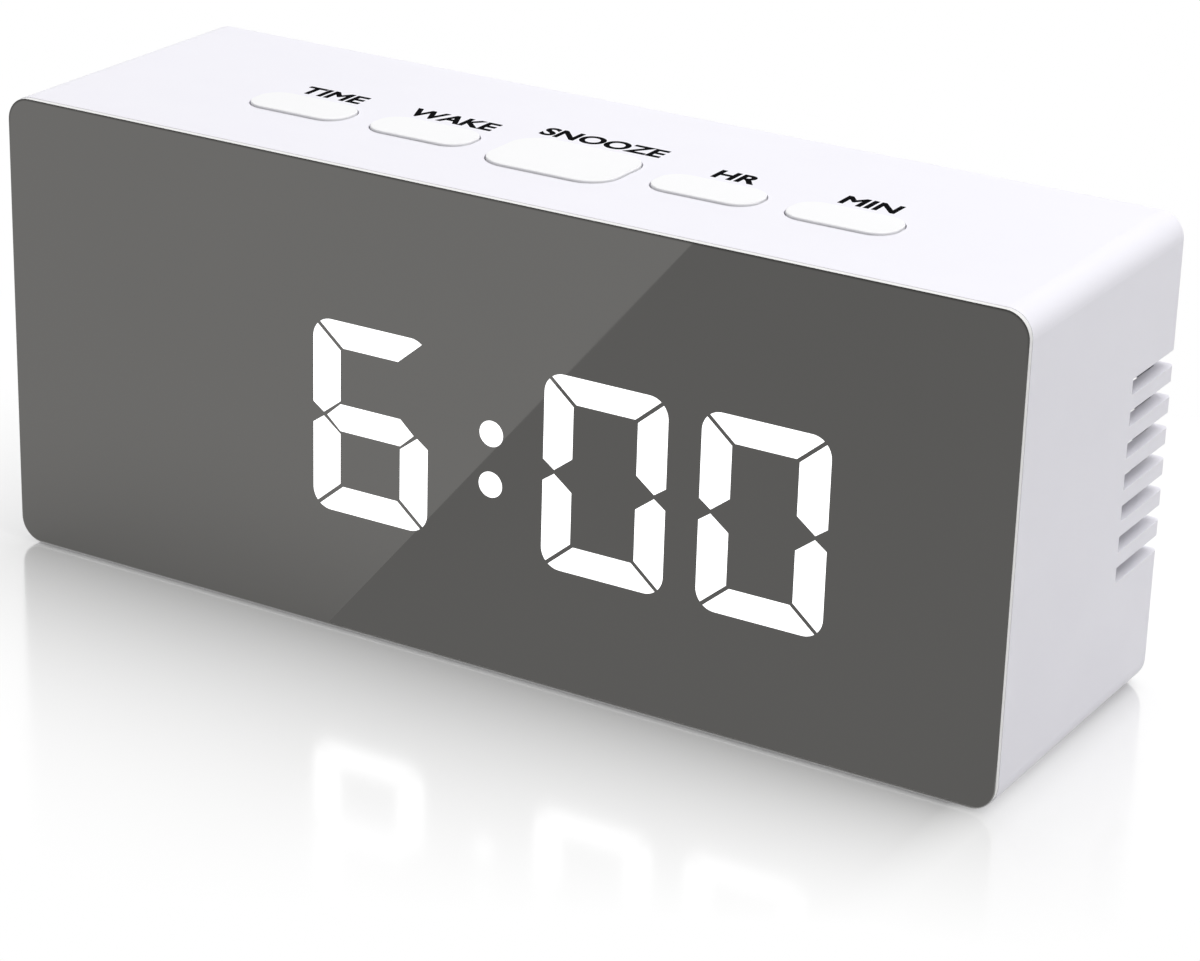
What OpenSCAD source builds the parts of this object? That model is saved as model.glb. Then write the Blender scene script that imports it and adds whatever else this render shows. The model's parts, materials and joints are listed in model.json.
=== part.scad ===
// Desk alarm clock with a full mirror front, five top buttons and vents round the rear corners
// The front faces -Y and +Z is up. The origin is on the table, below the middle of the clock

/* [Housing] */
// Width of the housing
body_w = 140; // [134:1:170]
// Height of the housing above its feet
body_h = 60; // [59:1:80]
// Depth from the mirror's face to the rear face
body_d = 43; // [42:1:60]
// Radius of the long edges that run from front to rear
edge_r = 3.2; // [2.6:0.2:5]
// Thickness of the moulded walls
wall_t = 1.8; // [1.4:0.1:2.2]
// Width of the rim behind the mirror's lip
rim_t = 0.5; // [0.3:0.05:0.6]
// Fillet along the rear edge
rear_fillet = 0.8; // [0.4:0.1:1.2]

/* [Vents] */
// Number of slots in each rear corner
vent_count = 7; // [3:2:9]
// Height of one slot
vent_h = 2; // [1.2:0.1:2.6]
// Distance from slot to slot
vent_pitch = 3.95; // [3.2:0.05:4.2]
// Length of a slot along the side wall
vent_side = 12.6; // [6:0.2:16]
// Length of a slot along the rear wall
vent_back = 10; // [4:0.5:12]
// Height of the middle slot above the housing's bottom
vent_mid = 30.4; // [28:0.2:34]

/* [Mirror] */
// Thickness of the mirror plate
mirror_t = 1.5; // [1:0.1:2]
// Gap between the mirror and the rim inside its lip
mirror_clear = 0.1; // [0.05:0.05:0.2]
// Thickness of the mirror's lip in front of the rim
lip_t = 0.7; // [0.5:0.05:0.9]
// Distance of the lip's edge inside the housing's outline
lip_in = 0.05; // [0.05:0.05:0.2]
// Fillet along the lip's front edge
lip_fillet = 0.1; // [0.05:0.05:0.2]
// Thickness of the tape behind the mirror
tape_t = 0.2; // [0.1:0.05:0.4]
// Width of the tape ring
tape_w = 6; // [3:0.5:7]
// Reach of the tape onto the housing's ledge
tape_seat = 0.5; // [0.3:0.1:0.8]

/* [Front frame] */
// Thickness of the frame's plate
frame_t = 1.8; // [1.2:0.1:2.5]
// Gap between the frame and the housing's walls
frame_clear = 0.2; // [0.1:0.05:0.4]
// Diameter of the screw towers
tower_d = 6.4; // [5.6:0.2:7]
// Distance of the towers from the side walls
tower_in_x = 7.2; // [6:0.2:9]
// Distance of the towers from the top and bottom walls
tower_in_z = 6; // [5:0.2:7]
// Diameter of the posts that carry the main board
post_d = 5; // [4:0.2:5.6]

/* [Display] */
// Width of one digit
digit_w = 16.7; // [15:0.1:18]
// Height of one digit
digit_h = 24.8; // [22:0.1:28]
// Distance between the digits of a pair
digit_pitch = 21.1; // [20:0.1:22]
// Distance between the pairs of digits
pair_pitch = 54; // [52:0.5:56]
// Width of the upright segments
stroke_v = 4; // [3:0.05:4.6]
// Height of the top and bottom segments
stroke_h = 3.4; // [3:0.1:4.6]
// Height of the middle segment
stroke_m = 3.75; // [3:0.05:4.6]
// Gap between neighbouring segments
segment_gap = 0.5; // [0.4:0.05:0.9]
// Distance of a segment's point from the digit's edge
segment_tip = 1.55; // [1:0.05:2]
// Rise of the shoulder beside a segment's point
segment_shoulder = 1.1; // [0.8:0.05:2]
// Radius of a digit's outer corners
digit_corner = 2.6; // [1:0.1:3]
// Diameter of the colon's dots
colon_d = 3.3; // [2.4:0.1:4]
// Distance between the colon's dots
colon_pitch = 6.5; // [5:0.1:9]
// Sideways place of the colon from the display's middle
colon_x = 0.85; // [-1:0.05:1]
// Height of the colon's middle above the display's middle
colon_z = -0.45; // [-1:0.05:1]
// Sideways place of the display's middle
display_x = 1.25; // [-2:0.05:2]
// Height of the display's middle above the housing's bottom
display_z = 28.1; // [26:0.1:32]
// Margin of the reflector round the digits
reflector_margin = 2.5; // [1.5:0.1:3]
// Depth of the reflector
reflector_t = 6.5; // [5:0.1:7]
// Depth of the diffuser in a well
diffuser_t = 2; // [1:0.1:3]
// Gap between the mirror and the reflector
display_gap = 0.2; // [0.1:0.05:0.4]
// Play of the reflector in the frame's window
window_clear = 0.4; // [0.2:0.1:0.8]
// Play of the diffusers in their wells
diffuser_clear = 0.05; // [0.03:0.01:0.1]

/* [Buttons] */
// Width of the four small buttons
button_w = 14.2; // [10:0.1:15]
// Length of the small buttons from front to rear
button_l = 6.9; // [5:0.1:8]
// Corner radius of the small buttons
button_r = 3; // [1.5:0.1:3.2]
// Width of the middle button
snooze_w = 17.8; // [14:0.1:19]
// Length of the middle button from front to rear
snooze_l = 12.3; // [9:0.1:13]
// Corner radius of the middle button
snooze_r = 4; // [2:0.1:5]
// Distance from the middle button to its neighbours
button_pitch_in = 19.85; // [19.2:0.05:22]
// Distance from the inner small buttons to the outer ones
button_pitch_out = 17.95; // [17.4:0.05:20]
// Sideways place of the row's middle
button_x = 0.75; // [-2:0.05:2]
// Distance of the row behind the mirror's face
button_y = 17.2; // [17:0.1:19]
// Height of the caps above the housing's top
button_proud = 0.3; // [0.3:0.05:1]
// Travel of a button
button_travel = 0.3; // [0.2:0.05:0.5]
// Gap between a cap and its opening
button_gap = 0.2; // [0.15:0.05:0.35]
// Fillet along a cap's top edge
button_fillet = 0.15; // [0.1:0.05:0.4]
// Wall of a hollow cap
cap_wall = 1.1; // [0.8:0.1:1.4]
// Width of the flange that keeps a cap in
flange_w = 0.8; // [0.6:0.1:1]
// Thickness of that flange
flange_t = 0.8; // [0.6:0.1:1.2]
// Play between the flange and the top wall
flange_play = 0.1; // [0.05:0.05:0.2]
// Length of a cap's stem below its flange
stem_l = 2.1; // [1:0.1:3]
// Diameter of a cap's stem
stem_d = 3.2; // [2.4:0.1:3.4]

/* [Key board] */
// Thickness of the key board
key_board_t = 1.6; // [1:0.1:2]
// Width of a switch body
switch_w = 6; // [5:0.1:6.4]
// Height of a switch body
switch_h = 3.5; // [3.2:0.1:4]
// Height of a plunger's top above the board
switch_rise = 5; // [4.6:0.1:6]
// Diameter of a plunger
plunger_d = 3.4; // [3:0.1:3.8]
// Depth of a plunger in its switch
plunger_in = 1; // [0.8:0.1:1.2]
// Play round a plunger
plunger_clear = 0.1; // [0.05:0.01:0.1]
// Diameter of the bosses under the top wall
boss_d = 4.6; // [4:0.1:5]
// Distance of a boss from the button flanges
boss_clear = 0.8; // [0.5:0.1:1.5]
// Distance between the pins of the header
header_pitch = 2.54; // [2:0.01:2.54]
// Number of pins in the header
header_pins = 6; // [4:1:10]

/* [Main board] */
// Thickness of the main board
board_t = 1.6; // [1:0.1:2]
// Distance of the board from the bottom wall
board_low = 2.5; // [1.5:0.1:4]
// Distance of the board from the screw towers
board_clear = 0.8; // [0.5:0.1:1.2]
// Distance of the posts from the board's sides and bottom
post_in = 3; // [2.8:0.1:3.4]
// Distance of the upper posts from the board's top
post_drop = 6.5; // [6:0.1:9]
// Diameter of the buzzer
buzzer_d = 12; // [9:0.5:14]
// Height of the buzzer
buzzer_h = 8.5; // [6:0.5:12]
// Diameter of the filter capacitor
capacitor_d = 6.3; // [5:0.1:8]
// Height of the filter capacitor
capacitor_h = 11; // [7:0.5:12]
// Length of the driver chip
chip_l = 18; // [12:0.1:20]
// Width of the driver chip
chip_w = 7.5; // [5:0.1:8]
// Diameter of the crystal's can
crystal_d = 3; // [2:0.1:3.4]
// Length of the crystal's can
crystal_l = 8; // [6:0.1:9]
// Diameter of the temperature sensor's bead
bead_d = 2.6; // [2:0.1:3.4]

/* [Battery well] */
// Diameter of a cell
cell_d = 10.5; // [10.1:0.1:10.9]
// Length of a cell with its nub
cell_l = 44.5; // [43:0.1:46]
// Play between neighbouring cells
cell_clear = 0.5; // [0.3:0.1:0.8]
// Room for a spring at a cell's flat end
spring_room = 4.6; // [4:0.1:6]
// Thickness of the contact plates
plate_t = 0.4; // [0.3:0.05:0.6]
// Thickness of the well's walls
well_wall = 1.6; // [1.4:0.1:2]
// Height of the well's inside above the housing's bottom
well_low = 7; // [6:0.2:8]
// Room for the latch above the cells
latch_room = 4.8; // [4.6:0.1:6]
// Width of the ledge that the door rests on
ledge_w = 1; // [0.8:0.1:1.2]
// Gap round the door
door_gap = 0.2; // [0.15:0.05:0.3]
// Radius of the thumb dish above the latch
dish_r = 8; // [6:0.5:12]
// Depth of the thumb dish
dish_deep = 1.1; // [0.6:0.1:1.2]
// Width of the door's latch
latch_w = 10; // [6:0.5:14]
// Thickness of the latch's strip
latch_t = 0.9; // [0.6:0.05:1]
// Gap between the door and the ledge behind it
door_seat = 0.1; // [0.05:0.05:0.2]
// Diameter of the door's hinge pins
hinge_pin_d = 1; // [0.8:0.1:1]
// Length of a hinge pin beyond the door's side
hinge_pin_l = 1; // [0.6:0.1:1.5]
// Play of a hinge pin in its socket
hinge_clear = 0.05; // [0.03:0.01:0.1]
// Diameter of a spring's wire
spring_wire = 0.6; // [0.5:0.05:0.7]
// Turns of a spring
spring_turns = 3.5; // [3:0.5:3.5]

/* [Power inlet] */
// Sideways place of the inlet
inlet_x = 42; // [38:0.5:46]
// Height of the inlet board's top above the housing's bottom
inlet_z = 11.6; // [8:0.1:16]
// Width of the inlet's shell
inlet_w = 7.5; // [7:0.1:8.4]
// Height of the inlet's shell
inlet_h = 2.7; // [2.5:0.1:3.4]
// Length of the inlet's shell
inlet_l = 5.6; // [5:0.1:7]
// Sheet thickness of the shell
inlet_sheet = 0.3; // [0.2:0.05:0.4]
// Gap between the shell and the rear wall
inlet_clear = 0.25; // [0.15:0.05:0.4]
// Width of the inlet board
inlet_board_w = 18; // [17:0.5:20]
// Length of the inlet board
inlet_board_l = 14; // [13:0.5:16]
// Thickness of the inlet board
inlet_board_t = 1.2; // [0.8:0.1:1.6]

/* [Fasteners and feet] */
// Diameter of the case screws
case_screw_d = 2.6; // [2:0.1:3]
// Length of the case screws under the head
case_screw_l = 10; // [8:0.5:14]
// Diameter of the small screws
small_screw_d = 2; // [1.6:0.1:2.2]
// Length of the small screws under the head
small_screw_l = 5; // [4:0.5:6]
// Depth of the recess for a case screw
recess_deep = 2.6; // [2.2:0.1:3.2]
// Thickness of the recess's floor
recess_floor = 1.6; // [1.2:0.1:2]
// Play of a screw in its hole
screw_clear = 0.05; // [0.02:0.01:0.1]
// Diameter of the feet
foot_d = 8; // [6:0.5:12]
// Height of the feet below the housing
foot_proud = 0.2; // [0.2:0.1:1]
// Depth of the pockets for the feet
foot_pocket = 0.8; // [0.4:0.1:1]
// Distance of the feet from the sides
foot_in_x = 14; // [10:0.5:24]
// Distance of the feet from the front and rear
foot_in_y = 9; // [7:0.5:12]
// Play of a foot in its pocket
foot_clear = 0.1; // [0.05:0.05:0.2]
// Diameter of the inner leads
lead_d = 1.2; // [0.8:0.1:1.6]

/* [Hidden] */
$fn = 48;
eps = 0.5;
board_r = 1;

// Outer faces of the housing
front = -body_d / 2;
rear = body_d / 2;
bottom = foot_proud;
top = bottom + body_h;
middle_z = bottom + body_h / 2;

// Inner faces of the housing
inner_w = body_w - 2 * wall_t;
inner_h = body_h - 2 * wall_t;
inner_r_least = 0.4;
inner_r = max(edge_r - wall_t, inner_r_least);
inner_top = top - wall_t;
inner_bottom = bottom + wall_t;
inner_rear = rear - wall_t;

// Layers behind the mirror's face
mirror_inset = rim_t + mirror_clear;
rim_front = front + lip_t;
tape_front = front + mirror_t;
ledge_front = tape_front + tape_t;
frame_back = ledge_front + frame_t;
reflector_front = tape_front + display_gap;
board_front = reflector_front + reflector_t;
board_back = board_front + board_t;

// Display layout
display_mid_z = bottom + display_z;
digit_places = [for (pair = [-1, 1]) for (digit = [-1, 1]) pair * pair_pitch / 2 + digit * digit_pitch / 2];
reflector_w = pair_pitch + digit_pitch + digit_w + 2 * reflector_margin;
reflector_h = digit_h + 2 * reflector_margin;

// Heads of the screws
head_ratio = 2;
case_head_d = head_ratio * case_screw_d;
case_head_h = 2;
small_head_d = head_ratio * small_screw_d;
small_head_h = 1.3;
head_room = 0.4;

// Screw towers, with the recesses that face them in the rear wall
tower_x = inner_w / 2 - tower_in_x;
tower_low = inner_bottom + tower_in_z;
tower_high = inner_top - tower_in_z;
tower_end = rear - recess_deep - recess_floor;
recess_d = case_head_d + 2 * head_room;

// Button row, from the cap's top down to the key board
row_y = front + button_y;
cap_top = top + button_proud;
flange_top = inner_top - flange_play;
flange_low = flange_top - flange_t;
plunger_top = flange_low - stem_l;
key_top = plunger_top - switch_rise;
key_low = key_top - key_board_t;
small_size = [button_w, button_l, button_r];
snooze_size = [snooze_w, snooze_l, snooze_r];
outer_x = button_pitch_in + button_pitch_out;
button_places = [for (x = [-outer_x, -button_pitch_in, 0, button_pitch_in, outer_x]) button_x + x];
button_sizes = [small_size, small_size, snooze_size, small_size, small_size];

// Key board outline and the bosses that carry it
end_boss_x = outer_x + button_w / 2 + flange_w + boss_clear + boss_d / 2;
rear_boss_x = button_pitch_in + button_pitch_out / 2;
rear_boss_y = row_y + button_l / 2 + flange_w + boss_clear + boss_d / 2;
boss_places = [
    [button_x - end_boss_x, row_y], [button_x + end_boss_x, row_y],
    [button_x - rear_boss_x, rear_boss_y], [button_x + rear_boss_x, rear_boss_y]
];
key_edge = 0.6;
key_front = board_back + key_edge;
key_rear = rear_boss_y + boss_d / 2 + key_edge;
key_w = 2 * (end_boss_x + boss_d / 2 + key_edge);

// Header between the key board and the main board
pin_w = 0.64;
pin_hole_d = 1;
header_w = header_pins * header_pitch;
header_h = 2.5;
header_y = key_front + header_h / 2;
pin_z = key_low - header_h / 2;
pin_tail = 1;

// Main board outline and posts
board_half_w = tower_x - tower_d / 2 - board_clear;
board_bottom = inner_bottom + board_low;
board_top = key_top + key_edge;
board_h = board_top - board_bottom;
board_mid_z = (board_top + board_bottom) / 2;
post_places = [for (side = [-1, 1]) for (z = [board_bottom + post_in, board_top - post_drop])
    [side * (board_half_w - post_in), z]];

// Battery well and its door
cell_pitch = cell_d + cell_clear;
cell_count = 3;
well_l = cell_l + spring_room + 2 * plate_t;
well_bottom = bottom + well_low;
well_top = well_bottom + cell_count * cell_pitch + latch_room;
cell_back = inner_rear - cell_clear;
cell_axis_y = cell_back - cell_d / 2;
cradle_d = cell_d + cell_clear;
well_front = cell_axis_y - cradle_d / 2 - well_wall;
cell_places = [for (i = [0 : cell_count - 1]) well_bottom + (i + 0.5) * cell_pitch];
hole_low = well_bottom - ledge_w;
hole_high = well_top + ledge_w;
hole_w = well_l + 2 * ledge_w;
door_t = wall_t - door_seat;
door_low = hole_low + door_gap;
door_high = hole_high - door_gap;
door_w = hole_w - 2 * door_gap;
door_r = 1.2;
hinge_y = rear - door_t / 2;
hinge_z = door_low + door_t / 2;
latch_side = 0.4;
latch_bend = 0.8;
latch_deep = 1.2;
latch_nose = 0.3;
notch_h = ledge_w - door_gap + 2 * latch_bend + latch_t + 2 * latch_nose;
notch_low = door_high - notch_h;

// Springs and contact plates
spring_base_r = 3.4;
spring_tip_r = 2;
spring_sides = 6;
turn_rings = 8;
contact_margin = 1;
contact_w = cell_d - 2 * contact_margin;
contact_front = cell_axis_y - contact_w / 2 + contact_margin;
plate_clear = 0.1;
nub_h = 0.8;
nub_d = 3.8;

// Power inlet
inlet_board_top = bottom + inlet_z;
inlet_inset = 0.5;
inlet_mouth = rear - inlet_inset;
inlet_board_gap = 0.4;
inlet_board_back = inner_rear - inlet_board_gap;
inlet_board_front = inlet_board_back - inlet_board_l;
inlet_post_in = 3;
inlet_post_y = inlet_board_front + inlet_post_in;
inlet_post_x = inlet_board_w / 2 - inlet_post_in;
inlet_post_d = 4.6;
inlet_r = 0.9;

// Flat outline with round corners
module round_rect(w, h, r) {
    square([w - 2 * r, h], center = true);
    square([w, h - 2 * r], center = true);
    for (x = [-1, 1])
        for (y = [-1, 1])
            translate([x * (w / 2 - r), y * (h / 2 - r)])
                circle(r);
}

// Upright outline in X and Z, drawn from y0 back to y1
module upright(y0, y1) {
    translate([0, y1, 0])
        rotate([90, 0, 0])
            linear_extrude(height = y1 - y0)
                children();
}

// Upright plate with round corners, centred on x and z
module upright_plate(w, h, r, x, z, y0, y1) {
    upright(y0, y1)
        translate([x, z])
            round_rect(w, h, r);
}

// Cylinder along Y from y0 back to y1
module rod_y(d, x, z, y0, y1) {
    translate([x, y1, z])
        rotate([90, 0, 0])
            cylinder(d = d, h = y1 - y0);
}

// Box between two corners
module box(low, high) {
    translate(low)
        cube(high - low);
}

// What a fillet of radius f takes off the upper edge of a round rectangle whose top is at z = 0
module edge_waste(w, h, r, f) {
    for (side = [0, 1])
        for (turn = [0, 180])
            rotate(turn + 90 * side)
                translate([(side == 0 ? w : h) / 2 - f, ((side == 0 ? h : w) - 2 * r) / 2, -f])
                    rotate([90, 0, 0])
                        linear_extrude(height = (side == 0 ? h : w) - 2 * r)
                            fillet_profile(f);
    for (x = [0, 1])
        for (y = [0, 1])
            mirror([x, 0, 0])
                mirror([0, y, 0])
                    translate([w / 2 - r, h / 2 - r, -f])
                        rotate_extrude(angle = 90)
                            translate([r - f, 0])
                                fillet_profile(f);
}

// Square corner less its round, with the centre of the round at the origin
module fillet_profile(f) {
    difference() {
        square(f + eps);
        circle(f);
    }
}

// Tube of the given radius along a list of points
function unit(v) = v / norm(v);
function along(p, i) = unit(p[min(i + 1, len(p) - 1)] - p[max(i - 1, 0)]);
function ring(p, i, r, sides, up) =
    let (t = along(p, i), u = unit(cross(up, t)), v = cross(t, u))
    [for (k = [0 : sides - 1]) p[i] + r * (cos(360 * k / sides) * u + sin(360 * k / sides) * v)];

module tube(p, r, sides, up) {
    last = len(p) - 1;
    points = [for (i = [0 : last]) each ring(p, i, r, sides, up)];
    walls = [for (i = [0 : last - 1]) for (k = [0 : sides - 1])
        let (a = i * sides + k, b = i * sides + (k + 1) % sides)
        each [[a, a + sides, b], [b, a + sides, b + sides]]];
    start = [for (k = [1 : sides - 2]) [0, k, k + 1]];
    end = [for (k = [1 : sides - 2]) [last * sides, last * sides + k + 1, last * sides + k]];
    polyhedron(points = points, faces = concat(walls, start, end));
}

// Slack lead between two points, leaving and arriving along Y
module lead(from, to, sag) {
    steps = 12;
    sides = 8;
    reach = (to[1] - from[1]) / 2;
    low = [0, 0, -sag];
    pull = [from, from + [0, reach, 0] + low, to - [0, reach, 0] + low, to];
    path = [for (i = [0 : steps]) let (t = i / steps, s = 1 - t)
        s * s * s * pull[0] + 3 * s * s * t * pull[1] + 3 * s * t * t * pull[2] + t * t * t * pull[3]];
    start = from + [0, sign(reach) * lead_d / 4, 0];
    end = to - [0, sign(reach) * lead_d / 4, 0];
    inner = [for (i = [1 : steps - 1]) path[i]];
    tube(concat([from, start], inner, [end, to]), lead_d / 2, sides, [1, 0, 0]);
}

// Pan-head screw with a cross recess, head up, seated at z = 0
module screw(d, length, head_d, head_h) {
    slot_w = d / 5;
    dome = head_h / 3;
    difference() {
        union() {
            translate([0, 0, -length])
                cylinder(d = d, h = length);
            cylinder(d = head_d, h = head_h - dome);
            translate([0, 0, head_h - dome])
                cylinder(d1 = head_d, d2 = head_d - 2 * dome, h = dome);
        }
        for (turn = [0, 90])
            rotate(turn)
                translate([-d / 2, -slot_w / 2, head_h / 2])
                    cube([d, slot_w, head_h]);
    }
}

// Housing: a moulded shell, open at the front
module housing() {
    color([0.95, 0.95, 0.97])
        difference() {
            union() {
                housing_shell();
                battery_block();
                for (side = [-1, 1])
                    for (z = [tower_low, tower_high])
                        rod_y(recess_d + 2 * recess_floor, side * tower_x, z, tower_end, inner_rear + eps);
                for (place = boss_places)
                    translate([place[0], place[1], key_top])
                        cylinder(d = boss_d, h = inner_top - key_top + eps);
                for (side = [-1, 1])
                    translate([inlet_x + side * inlet_post_x, inlet_post_y, inner_bottom - eps])
                        cylinder(d = inlet_post_d, h = inlet_board_top - inlet_board_t - inner_bottom + eps);
            }
            button_openings();
            vents();
            battery_hollow();
            for (side = [-1, 1])
                for (z = [tower_low, tower_high])
                    screw_recess(side * tower_x, z);
            for (place = boss_places)
                translate([place[0], place[1], key_top - eps])
                    cylinder(d = small_screw_d + 2 * screw_clear, h = small_screw_l + eps);
            for (side = [-1, 1])
                translate([inlet_x + side * inlet_post_x, inlet_post_y,
                           inlet_board_top - inlet_board_t - small_screw_l])
                    cylinder(d = small_screw_d + 2 * screw_clear, h = small_screw_l + eps);
            upright_plate(inlet_w + 2 * inlet_clear, inlet_h + 2 * inlet_clear, inlet_r + inlet_clear,
                          inlet_x, inlet_board_top + inlet_h / 2, inner_rear - eps, rear + eps);
            for (place = foot_places())
                translate([place[0], place[1], bottom - eps])
                    cylinder(d = foot_d + 2 * foot_clear, h = foot_pocket + eps);
        }
}

// Outer block with the mirror's seat in front and the hollow behind it
module housing_shell() {
    difference() {
        upright_plate(body_w, body_h, edge_r, 0, middle_z, rim_front, rear);
        upright_plate(inner_w, inner_h, inner_r, 0, middle_z, ledge_front - eps, inner_rear);
        upright_plate(body_w - 2 * rim_t, body_h - 2 * rim_t, edge_r - rim_t, 0, middle_z,
                      front - eps, ledge_front);
        translate([0, rear, middle_z])
            rotate([-90, 0, 0])
                edge_waste(body_w, body_h, edge_r, rear_fillet);
        translate([0, rear + dish_r - dish_deep, hole_high])
            sphere(r = dish_r);
    }
}

// Openings for the caps in the top wall
module button_openings() {
    for (i = [0 : len(button_places) - 1])
        translate([button_places[i], row_y, inner_top - eps])
            linear_extrude(height = wall_t + 2 * eps)
                round_rect(button_sizes[i][0] + 2 * button_gap, button_sizes[i][1] + 2 * button_gap,
                           button_sizes[i][2] + button_gap);
}

// Slots that run round both rear corners
module vents() {
    for (side = [0, 1])
        mirror([side, 0, 0])
            for (i = [0 : vent_count - 1])
                translate([body_w / 2 - vent_back, rear - vent_side,
                           bottom + vent_mid + (i - (vent_count - 1) / 2) * vent_pitch - vent_h / 2])
                    cube([vent_back + eps, vent_side + eps, vent_h]);
}

// Recess and hole for one case screw
module screw_recess(x, z) {
    rod_y(recess_d, x, z, rear - recess_deep, rear + eps);
    rod_y(case_screw_d + 2 * screw_clear, x, z, tower_end - eps, rear);
}

// Solid block that the battery well is cut from
module battery_block() {
    box([-well_l / 2 - well_wall, well_front, well_bottom - well_wall],
        [well_l / 2 + well_wall, inner_rear + eps, well_top + well_wall]);
}

// Hollow of the battery well, with cradles, the door's opening and the sockets of its hinge pins
module battery_hollow() {
    for (z = cell_places)
        translate([-well_l / 2, cell_axis_y, z])
            rotate([0, 90, 0])
                cylinder(d = cradle_d, h = well_l);
    box([-well_l / 2, cell_axis_y, well_bottom], [well_l / 2, inner_rear + eps, well_top]);
    for (side = [-1, 1])
        box([side * (well_l - plate_t) / 2 - plate_t / 2, contact_front - plate_clear,
             cell_places[0] - contact_w / 2 - plate_clear],
            [side * (well_l - plate_t) / 2 + plate_t / 2, cell_axis_y + eps,
             cell_places[cell_count - 1] + contact_w / 2 + plate_clear]);
    upright(inner_rear, rear + eps)
        hatch_outline(hole_w, hole_low, hole_high, door_r + door_gap);
    hinge_rod(hinge_pin_d + 2 * hinge_clear, door_w / 2 + hinge_pin_l + door_gap);
    box([-latch_w / 2 - latch_side, inner_rear - 2 * latch_deep, well_top - eps],
        [latch_w / 2 + latch_side, inner_rear - latch_side, well_top + well_wall / 2]);
}

// Outline with round upper corners and square lower ones
module hatch_outline(w, low, high, r) {
    translate([0, (low + high) / 2])
        round_rect(w, high - low, r);
    translate([-w / 2, low])
        square([w, (high - low) / 2]);
}

// Rod on the door's hinge line that reaches as far to both sides
module hinge_rod(d, reach) {
    translate([-reach, hinge_y, hinge_z])
        rotate([0, 90, 0])
            cylinder(d = d, h = 2 * reach);
}

// Frame behind the mirror, with the display's window, the screw towers and the board posts
module front_frame() {
    color([0.2, 0.2, 0.21])
        difference() {
            union() {
                upright_plate(inner_w - 2 * frame_clear, inner_h - 2 * frame_clear, inner_r, 0, middle_z,
                              ledge_front, frame_back);
                for (side = [-1, 1])
                    for (z = [tower_low, tower_high])
                        rod_y(tower_d, side * tower_x, z, ledge_front, tower_end);
                for (place = post_places)
                    rod_y(post_d, place[0], place[1], ledge_front, board_front);
            }
            upright_plate(reflector_w + 2 * window_clear, reflector_h + 2 * window_clear, board_r,
                          display_x, display_mid_z, ledge_front - eps, frame_back + eps);
            for (side = [-1, 1])
                for (z = [tower_low, tower_high])
                    rod_y(case_screw_d + 2 * screw_clear, side * tower_x, z,
                          rear - recess_deep - case_screw_l, tower_end + eps);
            for (place = post_places)
                rod_y(small_screw_d + 2 * screw_clear, place[0], place[1],
                      board_back - small_screw_l, board_front + eps);
        }
}

// Smoked mirror plate, with a lip that covers the housing's rim
module mirror_panel() {
    lip_w = body_w - 2 * lip_in;
    lip_h = body_h - 2 * lip_in;
    lip_r = edge_r - lip_in;
    color([0.36, 0.36, 0.35])
        difference() {
            union() {
                upright_plate(lip_w, lip_h, lip_r, 0, middle_z, front, rim_front);
                upright_plate(body_w - 2 * mirror_inset, body_h - 2 * mirror_inset, edge_r - mirror_inset,
                              0, middle_z, front, tape_front);
            }
            translate([0, front, middle_z])
                rotate([90, 0, 0])
                    edge_waste(lip_w, lip_h, lip_r, lip_fillet);
        }
}

// Tape ring between the mirror and the frame
module mirror_tape() {
    tape_outer_w = inner_w + 2 * tape_seat;
    tape_outer_h = inner_h + 2 * tape_seat;
    color([0.9, 0.9, 0.86])
        difference() {
            upright_plate(tape_outer_w, tape_outer_h, inner_r, 0, middle_z, tape_front, ledge_front);
            upright_plate(tape_outer_w - 2 * tape_w, tape_outer_h - 2 * tape_w, inner_r, 0, middle_z,
                          tape_front - eps, ledge_front + eps);
        }
}

// Points of the upper segment, of the upper left one and of the middle one, each wider by grow
function bar_points(grow) =
    let (w = digit_w / 2 + grow, h = digit_h / 2 + grow, v = stroke_v + 2 * grow, s = stroke_h + 2 * grow,
         shift = (segment_gap / 2 - grow) * norm([stroke_v, stroke_h]) / stroke_h)
    [[-w + shift, h], [w - shift, h], [w - v - shift, h - s], [-w + v + shift, h - s]];
function side_points(grow) =
    let (w = digit_w / 2 + grow, h = digit_h / 2 + grow, v = stroke_v + 2 * grow, s = stroke_h + 2 * grow,
         half_gap = segment_gap / 2 - grow,
         shift = half_gap * norm([stroke_v, stroke_h]) / stroke_v)
    [[-w, h - shift], [-w + v, h - s - shift], [-w + v, stroke_m / 2 + half_gap],
     [-w + segment_tip, half_gap], [-w, half_gap + segment_shoulder]];
function middle_points(grow) =
    let (w = digit_w / 2 - segment_tip - segment_gap + grow, v = digit_w / 2 - stroke_v + grow,
         m = stroke_m / 2 - segment_gap / 4 + grow)
    [[-w, 0], [-v, m], [v, m], [w, 0], [v, -m], [-v, -m]];

// All seven segments of one digit, centred on the origin
module digit(grow) {
    intersection() {
        round_rect(digit_w + 2 * grow, digit_h + 2 * grow, digit_corner);
        union() {
            for (z = [0, 1])
                mirror([0, z])
                    polygon(bar_points(grow));
            for (x = [0, 1])
                for (z = [0, 1])
                    mirror([x, 0])
                        mirror([0, z])
                            polygon(side_points(grow));
            polygon(middle_points(grow));
        }
    }
}

// Four digits and the colon, between y0 and y1
module display_shapes(grow, y0, y1) {
    translate([display_x, 0, display_mid_z]) {
        upright(y0, y1)
            for (x = digit_places)
                translate([x, 0])
                    digit(grow);
        for (side = [-1, 1])
            rod_y(colon_d + 2 * grow, colon_x, colon_z + side * colon_pitch / 2, y0, y1);
    }
}

// Light box with one well for each segment
module display_reflector() {
    color([0.93, 0.93, 0.93])
        difference() {
            upright_plate(reflector_w, reflector_h, board_r, display_x, display_mid_z,
                          reflector_front, board_front);
            display_shapes(diffuser_clear, reflector_front - eps, board_front + eps);
        }
}

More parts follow.
